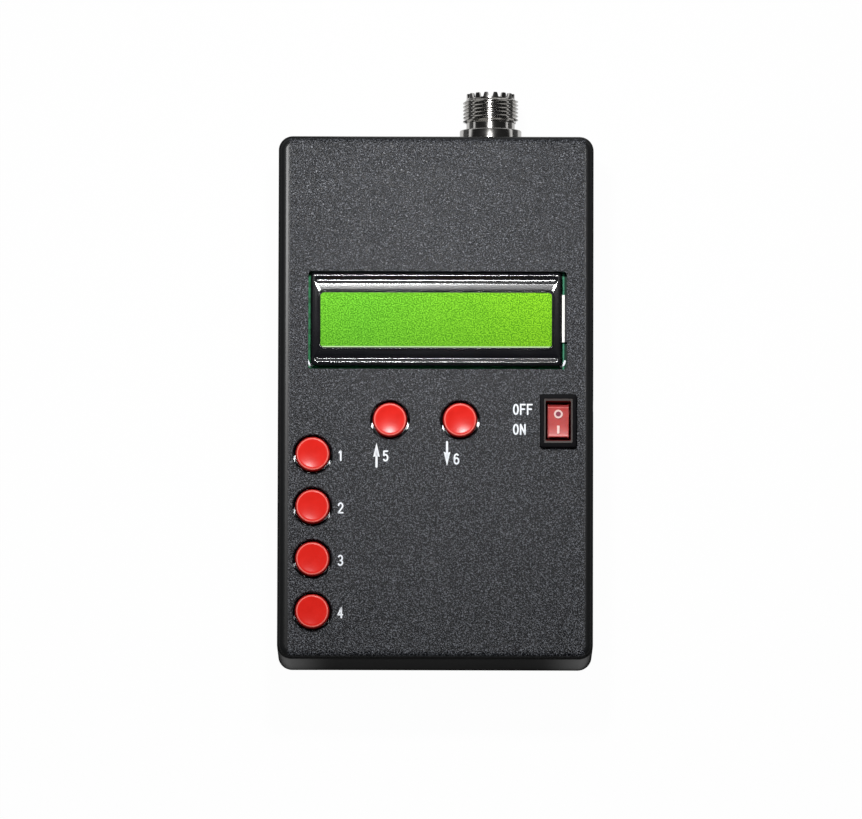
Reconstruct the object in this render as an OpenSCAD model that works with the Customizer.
// Hand-held antenna analyzer, lying on its back.
// The origin is the middle of the flat back face. +Z points out of the front face,
// +Y points at the end that carries the coaxial socket, and all sizes are in mm.

/* [Case] */
// Width of the case
case_w = 90; // [89:0.5:92]
// Length of the case
case_l = 150; // [149:0.5:152]
// Thickness of the case, from its back to its front face
case_h = 40; // [39.8:0.1:41]
// Thickness of the moulded walls
wall = 2.4; // [2.2:0.1:2.6]
// Radius of the four upright corners
corner_r = 4; // [3.4:0.1:4.2]
// Radius of the rounded edge round the front face
edge_r = 2.2; // [1.6:0.1:2.4]
// Height of the joint between the two shells above the back face
seam_z = 12; // [11:0.5:12]

/* [Display] */
// Middle of the display, across the case
lcd_x = 0.5; // [0:0.1:1]
// Middle of the display, along the case
lcd_y = 22; // [21.5:0.1:22.5]
// Width of the opening in the front face
aperture_w = 73.8; // [73.4:0.1:74.6]
// Length of the opening in the front face
aperture_l = 28.1; // [27.6:0.1:28.6]
// Width of the pressed metal frame
frame_w = 71.8; // [71.2:0.1:72.2]
// Length of the pressed metal frame
frame_l = 26; // [25.4:0.1:26.4]
// Width of the window in the metal frame
window_w = 66; // [64:0.1:66.4]
// Length of the window in the metal frame
window_l = 16.2; // [15.6:0.1:16.6]

/* [Keys] */
// Diameter of a key cap
cap_d = 9.9; // [9.6:0.1:10.1]
// Diameter of the hole that a key cap stands in
cap_hole_d = 11.2; // [10.9:0.1:11.4]
// How far a key cap stands out of the front face
cap_proud = 1.6; // [1.2:0.1:2]
// Travel of a key
key_travel = 0.3; // [0.2:0.05:0.35]
// Distance between the keys in the column
key_pitch = 15; // [14.6:0.1:15]
// Place of the column across the case
column_x = -35; // [-35.2:0.1:-34.8]
// Place of the column's first key along the case
column_y = -16.6; // [-16.6:0.1:-16.2]
// Place of the upper pair of keys along the case
pair_y = -6.7; // [-7:0.1:-6.5]
// Place of the up key across the case
up_x = -13; // [-13.4:0.1:-12.6]
// Place of the down key across the case
down_x = 7; // [6.6:0.1:7.4]

/* [Rocker switch] */
// Place of the rocker switch across the case
rocker_x = 35; // [34.6:0.1:35]
// Place of the rocker switch along the case
rocker_y = -6.95; // [-7.2:0.05:-6.8]
// Width of the switch's collar
collar_w = 10.5; // [10.2:0.1:10.8]
// Length of the switch's collar
collar_l = 15; // [14.8:0.1:15.2]
// Width of the rocker
rocker_w = 6; // [5.8:0.1:6.2]
// Length of the rocker
rocker_l = 9.6; // [9.4:0.1:9.8]
// Tilt of the rocker to each side of level
rocker_tilt = 10.5; // [9:0.5:11]

/* [Coaxial socket] */
// Place of the socket's axis across the case
coax_x = 15.6; // [15:0.1:16]
// Height of the socket's axis above the back face
coax_z = 22; // [21.8:0.1:22.4]
// Diameter over the crests of the coupling thread, 5/8 inch
thread_d = 15.875; // [15.8:0.005:15.9]
// Diameter of the flange against the case
flange_d = 17.7; // [17.2:0.1:18]
// Diameter of the notched rim
rim_d = 13.9; // [13.6:0.1:14.1]
// Number of notches in the rim
rim_notches = 16; // [12:1:20]
// Diameter of the bore that takes the plug's centre pin
pin_bore_d = 4.06; // [4:0.01:4.1]

/* [Power and data] */
// Place of the power socket along the case
jack_y = 52; // [51:0.5:53]
// Diameter of the power socket's bore
jack_bore_d = 6.3; // [6.2:0.1:6.5]
// Diameter of the power socket's centre pin
jack_pin_d = 2.1; // [2:0.1:2.5]
// Place of the data socket along the case
usb_y = -30; // [-31:0.5:-29]

/* [Battery] */
// Diameter of a battery cell
cell_d = 18.2; // [18:0.1:18.4]
// Length of a battery cell
cell_l = 65; // [64:0.5:65]

/* [Hidden] */
$fn = 64;
slack = 0.1;           // gap left between pieces that are assembled
skin = 0.01;           // overlap that keeps a cut or a union clean
black_abs = "#2c2d30";
key_red = "#e23a2c";
switch_red = "#b9362f";
nickel = "#c9ccd0";
board_green = "#14693a";
dark_plastic = "#17181a";
bright_steel = "#b9bcc0";
face_in = case_h - wall;                  // underside of the front face
side_in = case_w / 2 - wall;              // inner face of the side walls
end_in = case_l / 2 - wall;               // inner face of the end walls
boss_x = case_w / 2 - 4.2;                // case screws, in the four corners
boss_y = case_l / 2 - 4.1;
boss_r = 3.1;
screw_pilot_r = 1.5;
counterbore_r = 3;
hole_break = 0.3;                         // width of the broken edge round each key hole
mark_y = -2.5;                            // shallow round mark in the right-hand edge
mark_z = case_h - 3.2;
mark_r = 2;
mark_depth = 1.1;
rib_x = [-24, 2, 28];                     // stiffening ribs under the blank part of the face
rib_y = -38;
rib_l = 36;
rib_t = 1.2;
rib_h = 2.5;
tongue_t = 1.1;                           // tongue of the rear shell, inside the front shell's wall
tongue_up = 1.5;
tongue_l = 2 * boss_y - 10;
tongue_w = 2 * boss_x - 10;
screw_head_z = 6.5;                       // where a case screw's head bears
board_top = case_h - 13.5;                // upper face of the main circuit board
board_t = 1.6;
board_bottom = board_top - board_t;
post_r = 3;                               // posts that carry the main board
post_pilot_r = 1.25;
posts = [[-37, 60], [37, 63], [-20, -66], [37, -60]];
lcd_board_top = case_h - 5;
lcd_board_bottom = lcd_board_top - board_t;
lcd_board_w = 80;
lcd_board_l = 36;
lcd_hole_x = 37.5;                        // fixing holes of the display board
lcd_hole_y = 15.5;
frame_top = case_h - 0.4;
frame_t = 0.5;
lug_x = frame_w / 2 - 8;                  // bent lugs that hold the frame to its board
light_bar_y = 0.9;                        // light bar, from the middle of the display
light_bar_l = 13.5;
light_bar_h = 1.8;
bead_w = 1.6;                             // beads pressed into the frame's long sides
bead_depth = 0.25;
bead_y = frame_l / 2 - 1.9;
glass_top = frame_top - frame_t - 0.2;
glass_t = 2;
header_pins = 16;
header_pitch = 2.54;
header_y = lcd_y + lcd_hole_y;
header_x = lcd_x - 12.9;                  // middle of the pin row
keys = [
    [up_x, pair_y],
    [down_x, pair_y],
    for (i = [0:3]) [column_x, column_y - i * key_pitch]
];
key_body = 12;                            // square body of a key switch
key_body_h = 3.3;
key_cover_t = 0.3;
key_well_r = 3.5;                         // round well in a key switch, for the plunger's foot
foot_seat = 1.2;                          // how deep the foot sits in its well at rest
foot_h = 2.4;
cap_edge_r = 0.9;
cap_skirt_t = 0.8;
cap_hub_r = 3.1;
stem_w = 3.8;                             // square stem that a cap presses onto
stem_top = board_top + 12;
cap_h = 5.2;
cap_top = case_h + cap_proud;
collar_h = 1.7;
collar_opening_w = rocker_w + 1;
collar_opening_l = rocker_l + 1.2;
housing_w = 8.3;
housing_l = 13.2;
housing_depth = 12;
pivot_z = case_h - 0.6;                   // axis that the rocker tilts about
rocker_end_r = rocker_l / 2 + 0.2;        // its ends are round about that axis
rocker_crest = 2.47;                      // height of its end edges above the axis
rocker_dip = 2;                           // height of its middle above the axis
pivot_r = 0.9;
pivot_gap = 0.05;
coax_face = case_l / 2;
neck_l = 2.1;
flange_t = 4;
thread_l = 6.3;
rim_l = 2.35;
mouth_r = 5.9;
barrel_r = 6;                             // threaded barrel through the wall
rear_bore_r = 4.2;
hub_r = 4.6;
contact_r = 2.75;
coax_tip = coax_face + flange_t + neck_l + thread_l + rim_l;
mouth_floor = coax_face + 6;
contact_front = coax_tip - 1.8;
contact_back = coax_face + 4.5;
socket_front = side_in - 0.2;              // power and data sockets end just behind the wall
jack_z = board_top + 6.5;
jack_w = 9;
jack_l = 14.2;
jack_hole_d = 9;
usb_w = 7.7;
usb_h = 3.9;
usb_l = 9.2;
cell_z = wall + 0.6 + cell_d / 2;
saddle_t = 2;
strip_w = 6;                              // welded strips between the cells
strip_t = 0.2;
cell_y = -20;
cell_gap = 0.6;
cells = [for (i = [-1:1]) i * (cell_d + cell_gap)];
saddle_y = [cell_y - 22, cell_y, cell_y + 22];

// ---------- shapes used by several pieces ----------

// A flat rectangle with round corners.
module rounded_square(w, l, r) {
    square([w - 2 * r, l], center = true);
    square([w, l - 2 * r], center = true);
    for (x = [-1, 1], y = [-1, 1])
        translate([x * (w / 2 - r), y * (l / 2 - r)]) circle(r);
}

// The end view of a block whose two upper edges are round.
module dome_profile(w, h, e) {
    translate([-w / 2, 0]) square([w, h - e]);
    translate([-w / 2 + e, 0]) square([w - 2 * e, h]);
    for (x = [-1, 1]) translate([x * (w / 2 - e), h - e]) circle(e);
}

// A block with round upright corners and a round edge all along its top.
module dome_block(w, l, h, r, e) {
    rotate([90, 0, 0]) linear_extrude(height = l - 2 * r, center = true) dome_profile(w, h, e);
    rotate([90, 0, 90]) linear_extrude(height = w - 2 * r, center = true) dome_profile(l, h, e);
    for (x = [-1, 1], y = [-1, 1])
        translate([x * (w / 2 - r), y * (l / 2 - r), 0])
            rotate_extrude() intersection() {
                dome_profile(2 * r, h, e);
                square([r, h]);
            }
}

// A slot with round ends, lying along X.
module slot(length, width) {
    square([length - width, width], center = true);
    for (x = [-1, 1]) translate([x * (length - width) / 2, 0]) circle(width / 2);
}

// Copies its children to the four mirrored corners at x, y.
module four(x, y) {
    for (i = [-1, 1], j = [-1, 1]) translate([i * x, j * y, 0]) children();
}

// Turns a shape that was drawn along Z so that it lies along +Y on the socket's axis.
module on_coax_axis(y) {
    translate([coax_x, y, coax_z]) rotate([-90, 0, 0]) children();
}

// A screw that points up, with the underside of its head at z = 0.
module screw(head_r, head_h, shank_r, shank_l) {
    difference() {
        union() {
            translate([0, 0, -head_h]) cylinder(r = head_r, h = head_h);
            translate([0, 0, -skin]) cylinder(r = shank_r, h = shank_l + skin);
        }
        for (a = [0, 90]) rotate(a)
            translate([0, 0, -head_h]) cube([head_r * 1.2, head_r * 0.24, head_h], center = true);
    }
}

// ---------- case ----------

module front_openings() {
    // display
    translate([lcd_x, lcd_y, face_in - 1]) linear_extrude(height = wall + 2)
        rounded_square(aperture_w, aperture_l, 1);
    // keys, with the sharp edge of each hole broken
    for (k = keys) translate([k[0], k[1], 0]) {
        translate([0, 0, face_in - 1]) cylinder(d = cap_hole_d, h = wall + 2);
        translate([0, 0, case_h - hole_break])
            cylinder(d1 = cap_hole_d, d2 = cap_hole_d + 2 * hole_break, h = hole_break + skin);
    }
    // rocker switch
    translate([rocker_x, rocker_y, face_in + wall / 2])
        cube([housing_w + 2 * slack, housing_l + 2 * slack, wall + 2], center = true);
}

module side_openings() {
    // coaxial socket
    on_coax_axis(end_in - 1) cylinder(r = barrel_r + slack, h = wall + 2);
    // power socket
    translate([side_in - 1, jack_y, jack_z]) rotate([0, 90, 0]) cylinder(d = jack_hole_d, h = wall + 2);
    // data socket
    translate([side_in - 1, usb_y, board_top + usb_h / 2]) rotate([90, 0, 90])
        linear_extrude(height = wall + 2) rounded_square(usb_w + 1.6, usb_h + 1.5, 1);
    // shallow round mark in the right-hand edge
    translate([case_w / 2 - mark_depth, mark_y, mark_z]) rotate([0, 90, 0])
        cylinder(r = mark_r, h = mark_depth + 1);
}

module front_shell() {
    color(black_abs) difference() {
        union() {
            difference() {
                translate([0, 0, seam_z]) dome_block(case_w, case_l, case_h - seam_z, corner_r, edge_r);
                translate([0, 0, seam_z - 1]) linear_extrude(height = face_in - seam_z + 1)
                    rounded_square(2 * side_in, 2 * end_in, corner_r - wall + 0.4);
            }
            // corner bosses for the case screws
            four(boss_x, boss_y) translate([0, 0, seam_z]) cylinder(r = boss_r, h = face_in - seam_z + 1);
            // posts for the main board
            for (p = posts) translate([p[0], p[1], board_top])
                cylinder(r = post_r, h = face_in - board_top + 1);
            for (x = rib_x) translate([x - rib_t / 2, rib_y - rib_l / 2, face_in - rib_h])
                cube([rib_t, rib_l, rib_h + skin]);
        }
        front_openings();
        side_openings();
        four(boss_x, boss_y) translate([0, 0, seam_z - 1]) cylinder(r = screw_pilot_r, h = 15);
        for (p = posts) translate([p[0], p[1], board_top - 1]) cylinder(r = post_pilot_r, h = 8);
    }
}

// Cross rib with three round saddles for the battery cells.
module battery_saddle() {
    difference() {
        translate([0, 0, (wall + cell_z) / 2 - 1])
            cube([3 * cell_d + 5, saddle_t, cell_z - wall], center = true);
        for (x = cells) translate([x, saddle_t, cell_z]) rotate([90, 0, 0])
            cylinder(d = cell_d + 0.5, h = 2 * saddle_t);
    }
}

module rear_shell() {
    tongue_x = side_in - slack - tongue_t / 2;
    tongue_y = end_in - slack - tongue_t / 2;
    root_t = tongue_t + 1.3;              // its root is thicker, and joins the wall below the seam
    color(black_abs) difference() {
        union() {
            difference() {
                translate([0, 0, seam_z]) mirror([0, 0, 1])
                    dome_block(case_w, case_l, seam_z, corner_r, edge_r - 0.6);
                translate([0, 0, wall]) linear_extrude(height = seam_z)
                    rounded_square(2 * side_in, 2 * end_in, corner_r - wall + 0.4);
            }
            // tongue that locates the front shell, left out at the bosses and at the coaxial socket
            for (x = [-1, 1]) translate([x * tongue_x, 0, seam_z - 0.5])
                cube([tongue_t, tongue_l, 2 * tongue_up + 1], center = true);
            for (x = [-1, 1]) translate([x * (tongue_x + 0.65), 0, seam_z - tongue_up])
                cube([root_t - 1, tongue_l, 2], center = true);
            translate([0, -tongue_y, seam_z - 0.5])
                cube([tongue_w, tongue_t, 2 * tongue_up + 1], center = true);
            translate([0, -tongue_y - 0.35, seam_z - tongue_up]) cube([tongue_w, root_t, 2], center = true);
            // bosses that the case screws pass through
            four(boss_x, boss_y) translate([0, 0, wall - 1]) cylinder(r = boss_r, h = seam_z - wall + 1);
            four(boss_x, boss_y) translate([0, 0, wall - 1]) cylinder(r = counterbore_r + 1, h = screw_head_z);
            for (y = saddle_y) translate([0, y, 0]) battery_saddle();
        }
        four(boss_x, boss_y) {
            translate([0, 0, -1]) cylinder(r = counterbore_r, h = screw_head_z + 1);
            cylinder(r = 1.7, h = seam_z + 1);
        }
        // nothing of the bosses stands out of the outer walls
        translate([0, 0, -1]) linear_extrude(height = seam_z + 2) difference() {
            square([case_w + 20, case_l + 20], center = true);
            rounded_square(case_w, case_l, corner_r);
        }
    }
}

module case_screws() {
    color(bright_steel) four(boss_x, boss_y) translate([0, 0, screw_head_z])
        screw(head_r = 2.7, head_h = 2.2, shank_r = 1.48, shank_l = 16);
}

// ---------- main circuit board ----------

module main_board() {
    color(board_green) translate([0, 0, board_bottom]) linear_extrude(height = board_t) difference() {
        square([2 * side_in - 1.2, 2 * end_in - 1.2], center = true);
        // corners cleared for the case screw bosses
        four(boss_x + 4, boss_y + 4) square([2 * boss_r + 8.4, 2 * boss_r + 8.4], center = true);
        // cleared for the nut of the coaxial socket and for the rocker switch
        translate([coax_x, case_l / 2]) square([22, 26], center = true);
        translate([rocker_x + 4, rocker_y]) square([housing_w + 12, housing_l + 4], center = true);
        for (p = posts) translate(p) circle(1.5);
        for (x = [-1, 1], y = [-1, 1])
            translate([lcd_x + x * lcd_hole_x, lcd_y + y * lcd_hole_y]) circle(1.4);
        for (i = [0:header_pins - 1])
            translate([header_x + (i - (header_pins - 1) / 2) * header_pitch, header_y]) circle(0.5);
        for (k = keys) translate(k) four(6.25, 2.5) circle(0.65);
    }
}

module board_screws() {
    color(bright_steel) for (p = posts)
        translate([p[0], p[1], board_bottom]) screw(head_r = 2.4, head_h = 1.8, shank_r = 1.23, shank_l = 7);
}

// ---------- display ----------

module at_display(z) {
    translate([lcd_x, lcd_y, z]) children();
}

module lcd_board() {
    color("#1f9a4a") at_display(lcd_board_bottom) linear_extrude(height = board_t) difference() {
        square([lcd_board_w, lcd_board_l], center = true);
        four(lcd_hole_x, lcd_hole_y) circle(1.4);
        for (i = [0:header_pins - 1])
            translate([header_x - lcd_x + (i - (header_pins - 1) / 2) * header_pitch, lcd_hole_y]) circle(0.5);
        for (x = [-1, 1], y = [-1, 1])
            translate([x * lug_x, y * (frame_l / 2 - 0.5)]) square([2.4, 1.2], center = true);
    }
}

module lcd_backlight() {
    height = glass_top - glass_t - lcd_board_top;
    color("#f2f2ea") at_display(lcd_board_top) {
        translate([0, 0, height / 2]) cube([frame_w - 2.4, frame_l - 2.4, height], center = true);
        // light bar that stands out of the frame's right-hand side
        translate([frame_w / 2 + 0.5, light_bar_y, light_bar_h / 2])
            cube([4.6, light_bar_l, light_bar_h], center = true);
    }
}

module lcd_glass() {
    color("#78c832") at_display(glass_top - glass_t / 2)
        cube([frame_w - 2, frame_l - 2, glass_t], center = true);
}

// Pressed sheet frame: a rounded tray with a window, two long beads and four lugs.
module lcd_frame() {
    height = frame_top - lcd_board_top;
    color("#1b1c20") at_display(lcd_board_top) difference() {
        union() {
            difference() {
                dome_block(frame_w, frame_l, height, 0.9, 0.7);
                translate([0, 0, -1]) linear_extrude(height = height - frame_t + 1)
                    rounded_square(frame_w - 2 * frame_t, frame_l - 2 * frame_t, 0.4);
            }
            for (x = [-1, 1], y = [-1, 1])
                translate([x * lug_x, y * (frame_l - frame_t) / 2, -board_t / 2 + 0.2])
                    cube([2, frame_t, board_t + 0.6], center = true);
        }
        translate([0, 0, height - 2]) linear_extrude(height = 3) rounded_square(window_w, window_l, 1);
        for (y = [-1, 1]) translate([0, y * bead_y, height - bead_depth])
            linear_extrude(height = 1) slot(frame_w - bead_w, bead_w);
        // light bar passage
        translate([frame_w / 2, light_bar_y, light_bar_h / 2])
            cube([3, light_bar_l + 0.4, light_bar_h + 0.4], center = true);
    }
}

module lcd_spacers() {
    color("#e8e6dc") at_display(board_top) four(lcd_hole_x, lcd_hole_y) difference() {
        cylinder(r = 2.5, h = lcd_board_bottom - board_top);
        translate([0, 0, -1]) cylinder(r = 1.3, h = lcd_board_bottom - board_top + 2);
    }
}

module lcd_screws() {
    color(bright_steel) at_display(board_bottom) four(lcd_hole_x, lcd_hole_y)
        screw(head_r = 2.2, head_h = 1.5, shank_r = 1.25, shank_l = lcd_board_top - board_bottom + 1.5);
}

module lcd_header() {
    row_l = header_pins * header_pitch;
    color(dark_plastic) translate([header_x, header_y, 0]) {
        translate([-row_l / 2, -1.2, board_top]) cube([row_l, 2.4, lcd_board_bottom - board_top]);
        for (i = [0:header_pins - 1])
            translate([(i - (header_pins - 1) / 2) * header_pitch, 0, board_bottom - 1.2])
                cylinder(r = 0.35, h = lcd_board_top - board_bottom + 2.2);
    }
}

// ---------- keys ----------

// Round cap with a rounded top edge and a square socket for the stem.
module key_cap(k) {
    color(key_red) translate([k[0], k[1], cap_top - cap_h]) difference() {
        rotate_extrude() intersection() {
            dome_profile(cap_d, cap_h, cap_edge_r);
            square([cap_d, cap_h]);
        }
        translate([0, 0, -skin]) linear_extrude(height = stem_top - cap_top + cap_h + skin)
            square(stem_w, center = true);
        // relief ring under the cap
        translate([0, 0, -1]) difference() {
            cylinder(d = cap_d - 2 * cap_skirt_t, h = 2.6);
            translate([0, 0, -1]) cylinder(r = cap_hub_r, h = 5);
        }
    }
}

// Square stem on a round foot, which sits in the switch.
module key_plunger(k) {
    foot_z = board_top + key_body_h - foot_seat;
    stem_z = foot_z + foot_h - 0.4;
    color("#2a2a2c") translate([k[0], k[1], 0]) {
        translate([0, 0, foot_z]) cylinder(r = key_well_r - slack, h = foot_h);
        translate([-stem_w / 2, -stem_w / 2, stem_z]) cube([stem_w, stem_w, stem_top - stem_z]);
    }
}

module key_switch(k) {
    well_depth = foot_seat + key_travel + slack;
    color(dark_plastic) translate([k[0], k[1], 0]) {
        difference() {
            translate([-key_body / 2, -key_body / 2, board_top]) cube([key_body, key_body, key_body_h]);
            translate([0, 0, board_top + key_body_h - well_depth]) cylinder(r = key_well_r, h = well_depth + 1);
        }
        four(6.25, 2.5) {
            translate([0, 0, board_bottom - 1.5]) cylinder(r = 0.45, h = board_t + 3);
            translate([-0.5, -0.5, board_top + 0.2]) cube([1, 1, 1.4]);
        }
    }
}

// Thin metal plates on top of the key switches, each held by four rivets.
module key_covers() {
    color(bright_steel) for (k = keys) translate([k[0], k[1], board_top + key_body_h]) {
        linear_extrude(height = key_cover_t) difference() {
            rounded_square(key_body - 0.4, key_body - 0.4, 0.8);
            circle(key_well_r);
        }
        four(4.6, 4.6) cylinder(r = 0.7, h = key_cover_t + 0.25);
    }
}

module button_up() { key_cap(keys[0]); }
module button_down() { key_cap(keys[1]); }
module button_1() { key_cap(keys[2]); }
module button_2() { key_cap(keys[3]); }
module button_3() { key_cap(keys[4]); }
module button_4() { key_cap(keys[5]); }
module plunger_up() { key_plunger(keys[0]); }
module plunger_down() { key_plunger(keys[1]); }
module plunger_1() { key_plunger(keys[2]); }
module plunger_2() { key_plunger(keys[3]); }
module plunger_3() { key_plunger(keys[4]); }
module plunger_4() { key_plunger(keys[5]); }
module key_switch_up() { key_switch(keys[0]); }
module key_switch_down() { key_switch(keys[1]); }
module key_switch_1() { key_switch(keys[2]); }
module key_switch_2() { key_switch(keys[3]); }
module key_switch_3() { key_switch(keys[4]); }
module key_switch_4() { key_switch(keys[5]); }

// ---------- rocker switch ----------

module rocker_housing() {
    floor_z = case_h - 6;
    color(dark_plastic) translate([rocker_x, rocker_y, 0]) difference() {
        union() {
            translate([0, 0, case_h]) dome_block(collar_w, collar_l, collar_h, 0.6, 0.4);
            translate([-housing_w / 2, -housing_l / 2, case_h - housing_depth])
                cube([housing_w, housing_l, housing_depth + skin]);
            // spring wings that hold the switch behind the face
            for (y = [-1, 1]) translate([0, y * housing_l / 2, face_in - 3.2]) rotate([y * 14, 0, 0])
                cube([5, 0.9, 5], center = true);
        }
        translate([0, 0, floor_z]) linear_extrude(height = 10)
            rounded_square(collar_opening_w, collar_opening_l, 0.3);
        // sloping inner faces of the collar
        translate([0, 0, case_h + collar_h]) {
            rotate([90, 0, 0]) linear_extrude(height = collar_opening_l + 1.7, center = true)
                polygon([[-4.1, 0.1], [4.1, 0.1], [collar_opening_w / 2, -0.8], [-collar_opening_w / 2, -0.8]]);
            rotate([90, 0, 90]) linear_extrude(height = collar_opening_w + 1, center = true)
                polygon([[-6.3, 0.1], [6.3, 0.1], [collar_opening_l / 2, -0.8], [-collar_opening_l / 2, -0.8]]);
        }
        // bearings for the rocker's two trunnions
        translate([0, 0, pivot_z]) rotate([0, 90, 0])
            cylinder(r = pivot_r + pivot_gap, h = rocker_w + 1.9, center = true);
    }
}

// Side view of the rocker when level: two faces that dip to the middle, and ends that are
// round about the pivot.
module rocker_profile() {
    intersection() {
        circle(rocker_end_r);
        polygon([
            [-6, rocker_dip + (rocker_crest - rocker_dip) * 6 / 4.34], [0, rocker_dip],
            [6, rocker_dip + (rocker_crest - rocker_dip) * 6 / 4.34],
            [6, 0.2], [1.6, -1.8], [-1.6, -1.8], [-6, 0.2]
        ]);
    }
}

module rocker() {
    color(switch_red) translate([rocker_x, rocker_y, pivot_z]) rotate([rocker_tilt, 0, 0]) {
        rotate([90, 0, 90]) linear_extrude(height = rocker_w, center = true) rocker_profile();
        rotate([0, 90, 0]) cylinder(r = pivot_r, h = rocker_w + 1.7, center = true);
    }
}

module rocker_terminals() {
    bottom = case_h - housing_depth;
    color("#c9a64a") for (y = [-3.6, 3.6])
        translate([rocker_x, rocker_y + y, bottom - 3]) difference() {
            cube([2.8, 0.5, 6], center = true);
            translate([0, 0, -1.2]) rotate([90, 0, 0]) cylinder(r = 0.6, h = 2, center = true);
        }
}

// ---------- coaxial socket ----------

// Lathe-turned body, drawn from the case face outwards. The coupling thread is a plain
// cylinder at its crest diameter, and the rim is notched for the plug's locating teeth.
module coax_body() {
    thread_z = flange_t + neck_l;
    tip = coax_tip - coax_face;
    color(nickel) on_coax_axis(coax_face) difference() {
        union() {
            cylinder(d = flange_d, h = flange_t);
            translate([0, 0, -9]) cylinder(r = barrel_r, h = 10);
            cylinder(d = rim_d, h = tip);
            translate([0, 0, thread_z]) cylinder(d = thread_d, h = thread_l);
        }
        translate([0, 0, -10]) cylinder(r = rear_bore_r, h = tip + 11);
        translate([0, 0, mouth_floor - coax_face]) cylinder(r = mouth_r, h = tip);
        for (i = [0:rim_notches - 1]) rotate((i + 0.5) * 360 / rim_notches)
            translate([rim_d / 2, 0, tip]) cube([4, 1.25, 2.6], center = true);
    }
}

module coax_insulator() {
    color("#f0ede2") on_coax_axis(coax_face) difference() {
        union() {
            translate([0, 0, -9]) cylinder(r = rear_bore_r, h = 9 + mouth_floor - coax_face);
            translate([0, 0, mouth_floor - coax_face - 0.5]) cylinder(r = rear_bore_r, h = 1);
            translate([0, 0, mouth_floor - coax_face])
                cylinder(r = hub_r, h = contact_front - mouth_floor - 0.2);
        }
        translate([0, 0, contact_back - coax_face]) cylinder(r = contact_r, h = 20);
        translate([0, 0, -10]) cylinder(r = 1.5, h = 20);
    }
}

// Slit spring tube that grips the plug's centre pin, on a stem with a solder tail.
module coax_contact() {
    length = contact_front - contact_back;
    color("#d9c27a") on_coax_axis(contact_back) difference() {
        union() {
            cylinder(r = contact_r, h = length);
            translate([0, 0, -17]) cylinder(r = 1.5, h = 17.5);
        }
        translate([0, 0, 0.8]) cylinder(d = pin_bore_d, h = length);
        for (a = [0, 90]) rotate(a) translate([0, 0, length]) cube([7, 0.4, 7], center = true);
        // solder cup
        translate([0, 0, -17.5]) cylinder(r = 0.9, h = 3);
    }
}

module coax_washer() {
    color(nickel) on_coax_axis(end_in - 0.8) difference() {
        cylinder(r = 8.2, h = 0.8);
        translate([0, 0, -1]) cylinder(r = barrel_r + slack, h = 3);
        for (a = [0:30:330]) rotate(a) translate([8.4, 0, 0]) cube([1.4, 1.2, 4], center = true);
    }
}

module coax_nut() {
    color(nickel) on_coax_axis(end_in - 0.8 - 3) difference() {
        cylinder(r = 8.4 / cos(30), h = 3, $fn = 6);
        translate([0, 0, -1]) cylinder(r = barrel_r + 0.02, h = 5);
    }
}

// ---------- power and data sockets ----------

module power_jack() {
    color(dark_plastic) translate([socket_front, jack_y, 0]) difference() {
        union() {
            translate([-3.4, -jack_w / 2, board_top]) cube([3.4, jack_w, jack_z - board_top]);
            translate([-3.4, 0, jack_z]) rotate([0, 90, 0]) cylinder(d = jack_w - 0.2, h = 3.4);
            translate([-jack_l, -jack_w / 2, board_top]) cube([jack_l, jack_w, 3]);
            translate([-jack_l, 0, jack_z]) rotate([0, 90, 0]) cylinder(d = 8, h = jack_l - 1);
            translate([-jack_l, -3.4, board_top]) cube([2.4, 6.8, jack_z - board_top]);
        }
        translate([-9.6, 0, jack_z]) rotate([0, 90, 0]) cylinder(d = jack_bore_d, h = 20);
    }
}

module power_pin() {
    color(nickel) translate([socket_front - 9.6, jack_y, jack_z]) rotate([0, 90, 0]) {
        cylinder(d = jack_pin_d, h = 8.6);
        translate([0, 0, 8.6]) sphere(d = jack_pin_d, $fn = 32);
    }
}

// Pressed shell of the data socket: a flat tube whose lower corners step in.
module usb_outline(grow) {
    translate([0, 0.5]) square([usb_w + 2 * grow, usb_h - 1 + 2 * grow], center = true);
    translate([0, -0.6]) square([usb_w - 1.4 + 2 * grow, usb_h - 1.2 + 2 * grow], center = true);
}

module usb_shell() {
    color(bright_steel) translate([socket_front - usb_l, usb_y, board_top + usb_h / 2]) rotate([90, 0, 90])
        difference() {
            linear_extrude(height = usb_l) usb_outline(-0.01);
            translate([0, 0, 1]) linear_extrude(height = usb_l) usb_outline(-0.35);
        }
}

module usb_tongue() {
    color(dark_plastic) translate([socket_front - usb_l, usb_y, board_top + usb_h / 2]) rotate([90, 0, 90])
        translate([0, 0, 1]) linear_extrude(height = usb_l - 2.2) square([usb_w - 2.8, 0.9], center = true);
}

// ---------- battery ----------

module battery_cells() {
    color("#3d6fa5") for (x = cells) translate([x, cell_y + cell_l / 2, cell_z]) rotate([90, 0, 0]) {
        cylinder(d = cell_d, h = cell_l);
        translate([0, 0, -1]) cylinder(d = 6, h = 1 + skin);
    }
}

// Welded strips across the ends of the cells.
module battery_strips() {
    strip_l = cell_d + cell_gap + strip_w;
    color(nickel) translate([0, cell_y, cell_z - strip_w / 2]) {
        translate([cells[0] - strip_w / 2, cell_l / 2 + 1, 0]) cube([strip_l, strip_t, strip_w]);
        translate([cells[1] - strip_w / 2, -cell_l / 2 - strip_t, 0]) cube([strip_l, strip_t, strip_w]);
    }
}

// ---------- parts on the main board ----------

module on_board(x, y) {
    translate([x, y, board_top]) children();
}

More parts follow.
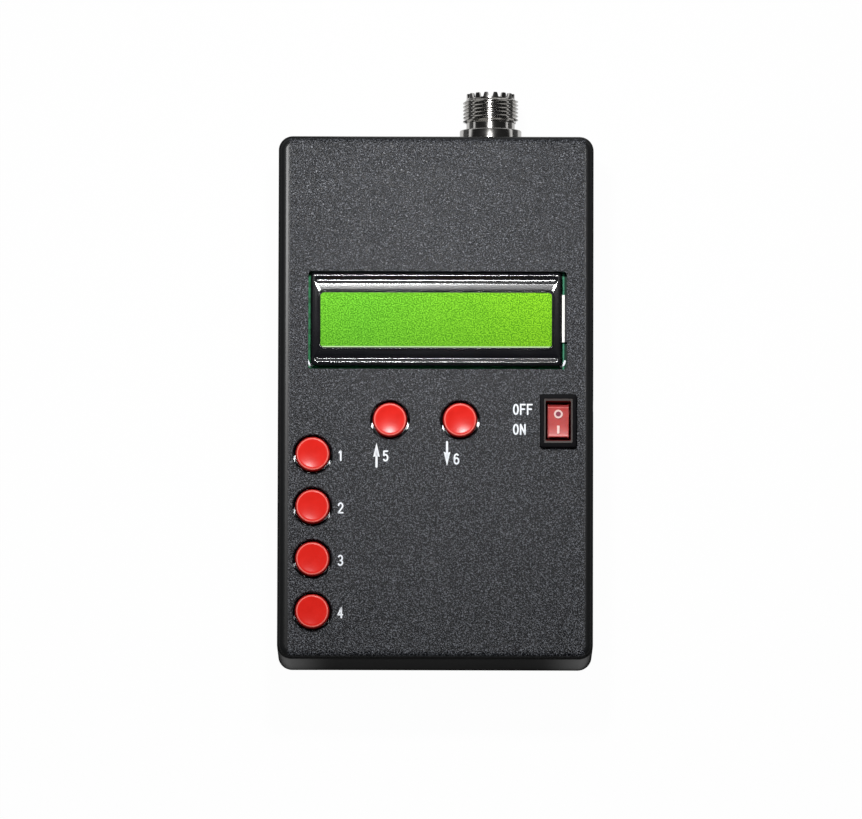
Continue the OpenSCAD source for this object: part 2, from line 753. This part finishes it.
// Flat chip with one row of bent legs on each of two or four sides.
module chip(w, l, h, legs_w, legs_l, pitch) {
    translate([0, 0, h / 2 + 0.2]) cube([w, l, h], center = true);
    if (legs_w > 0) for (i = [0:legs_w - 1], s = [-1, 1])
        translate([(i - (legs_w - 1) / 2) * pitch, s * (l / 2 + 0.4), 0.45])
            cube([0.35, 1.2, 0.9], center = true);
    if (legs_l > 0) for (i = [0:legs_l - 1], s = [-1, 1])
        translate([s * (w / 2 + 0.4), (i - (legs_l - 1) / 2) * pitch, 0.45])
            cube([1.2, 0.35, 0.9], center = true);
}

module controller_chip() {
    color(dark_plastic) on_board(8, -38) chip(10, 10, 1.4, 11, 11, 0.8);
}

module signal_chip() {
    color(dark_plastic) on_board(-6, 52) chip(10.2, 5.3, 1.8, 14, 0, 0.65);
}

module crystal() {
    color(bright_steel) on_board(8, -24) linear_extrude(height = 3.5) slot(11, 4.7);
}

// Two ring cores of the measuring bridge.
module bridge_toroids() {
    color("#6f5a2c") for (y = [44, 56]) on_board(14, y) translate([0, 0, 2.4])
        rotate_extrude($fn = 48) translate([4.2, 0]) rounded_square(3.2, 4.4, 0.8, $fn = 32);
}

module capacitors() {
    color("#2f3542") for (p = [[-12, -48], [-4, -54], [24, -46]]) on_board(p[0], p[1]) {
        cylinder(d = 6.3, h = 7);
        translate([0, 0, 0.2]) cylinder(d = 6.6, h = 0.8);
    }
}

module regulator() {
    color(dark_plastic) on_board(24, -62) {
        translate([-5, -4.5, 0]) cube([10, 9, 4.4]);
        translate([-5, 4, 0]) cube([10, 6, 1.3]);
        for (x = [-2.54, 0, 2.54]) translate([x - 0.4, -8, 1.8]) cube([0.8, 4, 0.6]);
    }
}

module buzzer() {
    color(dark_plastic) on_board(-10, -32) difference() {
        cylinder(d = 12, h = 8.5);
        translate([0, 0, 7.5]) cylinder(d = 2.4, h = 3);
    }
}

module trimmers() {
    color("#2b62b8") for (x = [-24, -33]) on_board(x, 50) difference() {
        translate([-3.3, -3.5, 0]) cube([6.6, 7, 4.5]);
        translate([0, 0, 4]) cylinder(r = 2.4, h = 2);
    }
}

front_shell();
rear_shell();
case_screws();
main_board();
board_screws();
lcd_board();
lcd_backlight();
lcd_glass();
lcd_frame();
lcd_spacers();
lcd_screws();
lcd_header();
button_up();
button_down();
button_1();
button_2();
button_3();
button_4();
plunger_up();
plunger_down();
plunger_1();
plunger_2();
plunger_3();
plunger_4();
key_switch_up();
key_switch_down();
key_switch_1();
key_switch_2();
key_switch_3();
key_switch_4();
key_covers();
rocker_housing();
rocker();
rocker_terminals();
coax_body();
coax_insulator();
coax_contact();
coax_washer();
coax_nut();
power_jack();
power_pin();
usb_shell();
usb_tongue();
battery_cells();
battery_strips();
controller_chip();
signal_chip();
crystal();
bridge_toroids();
capacitors();
regulator();
buzzer();
trimmers();
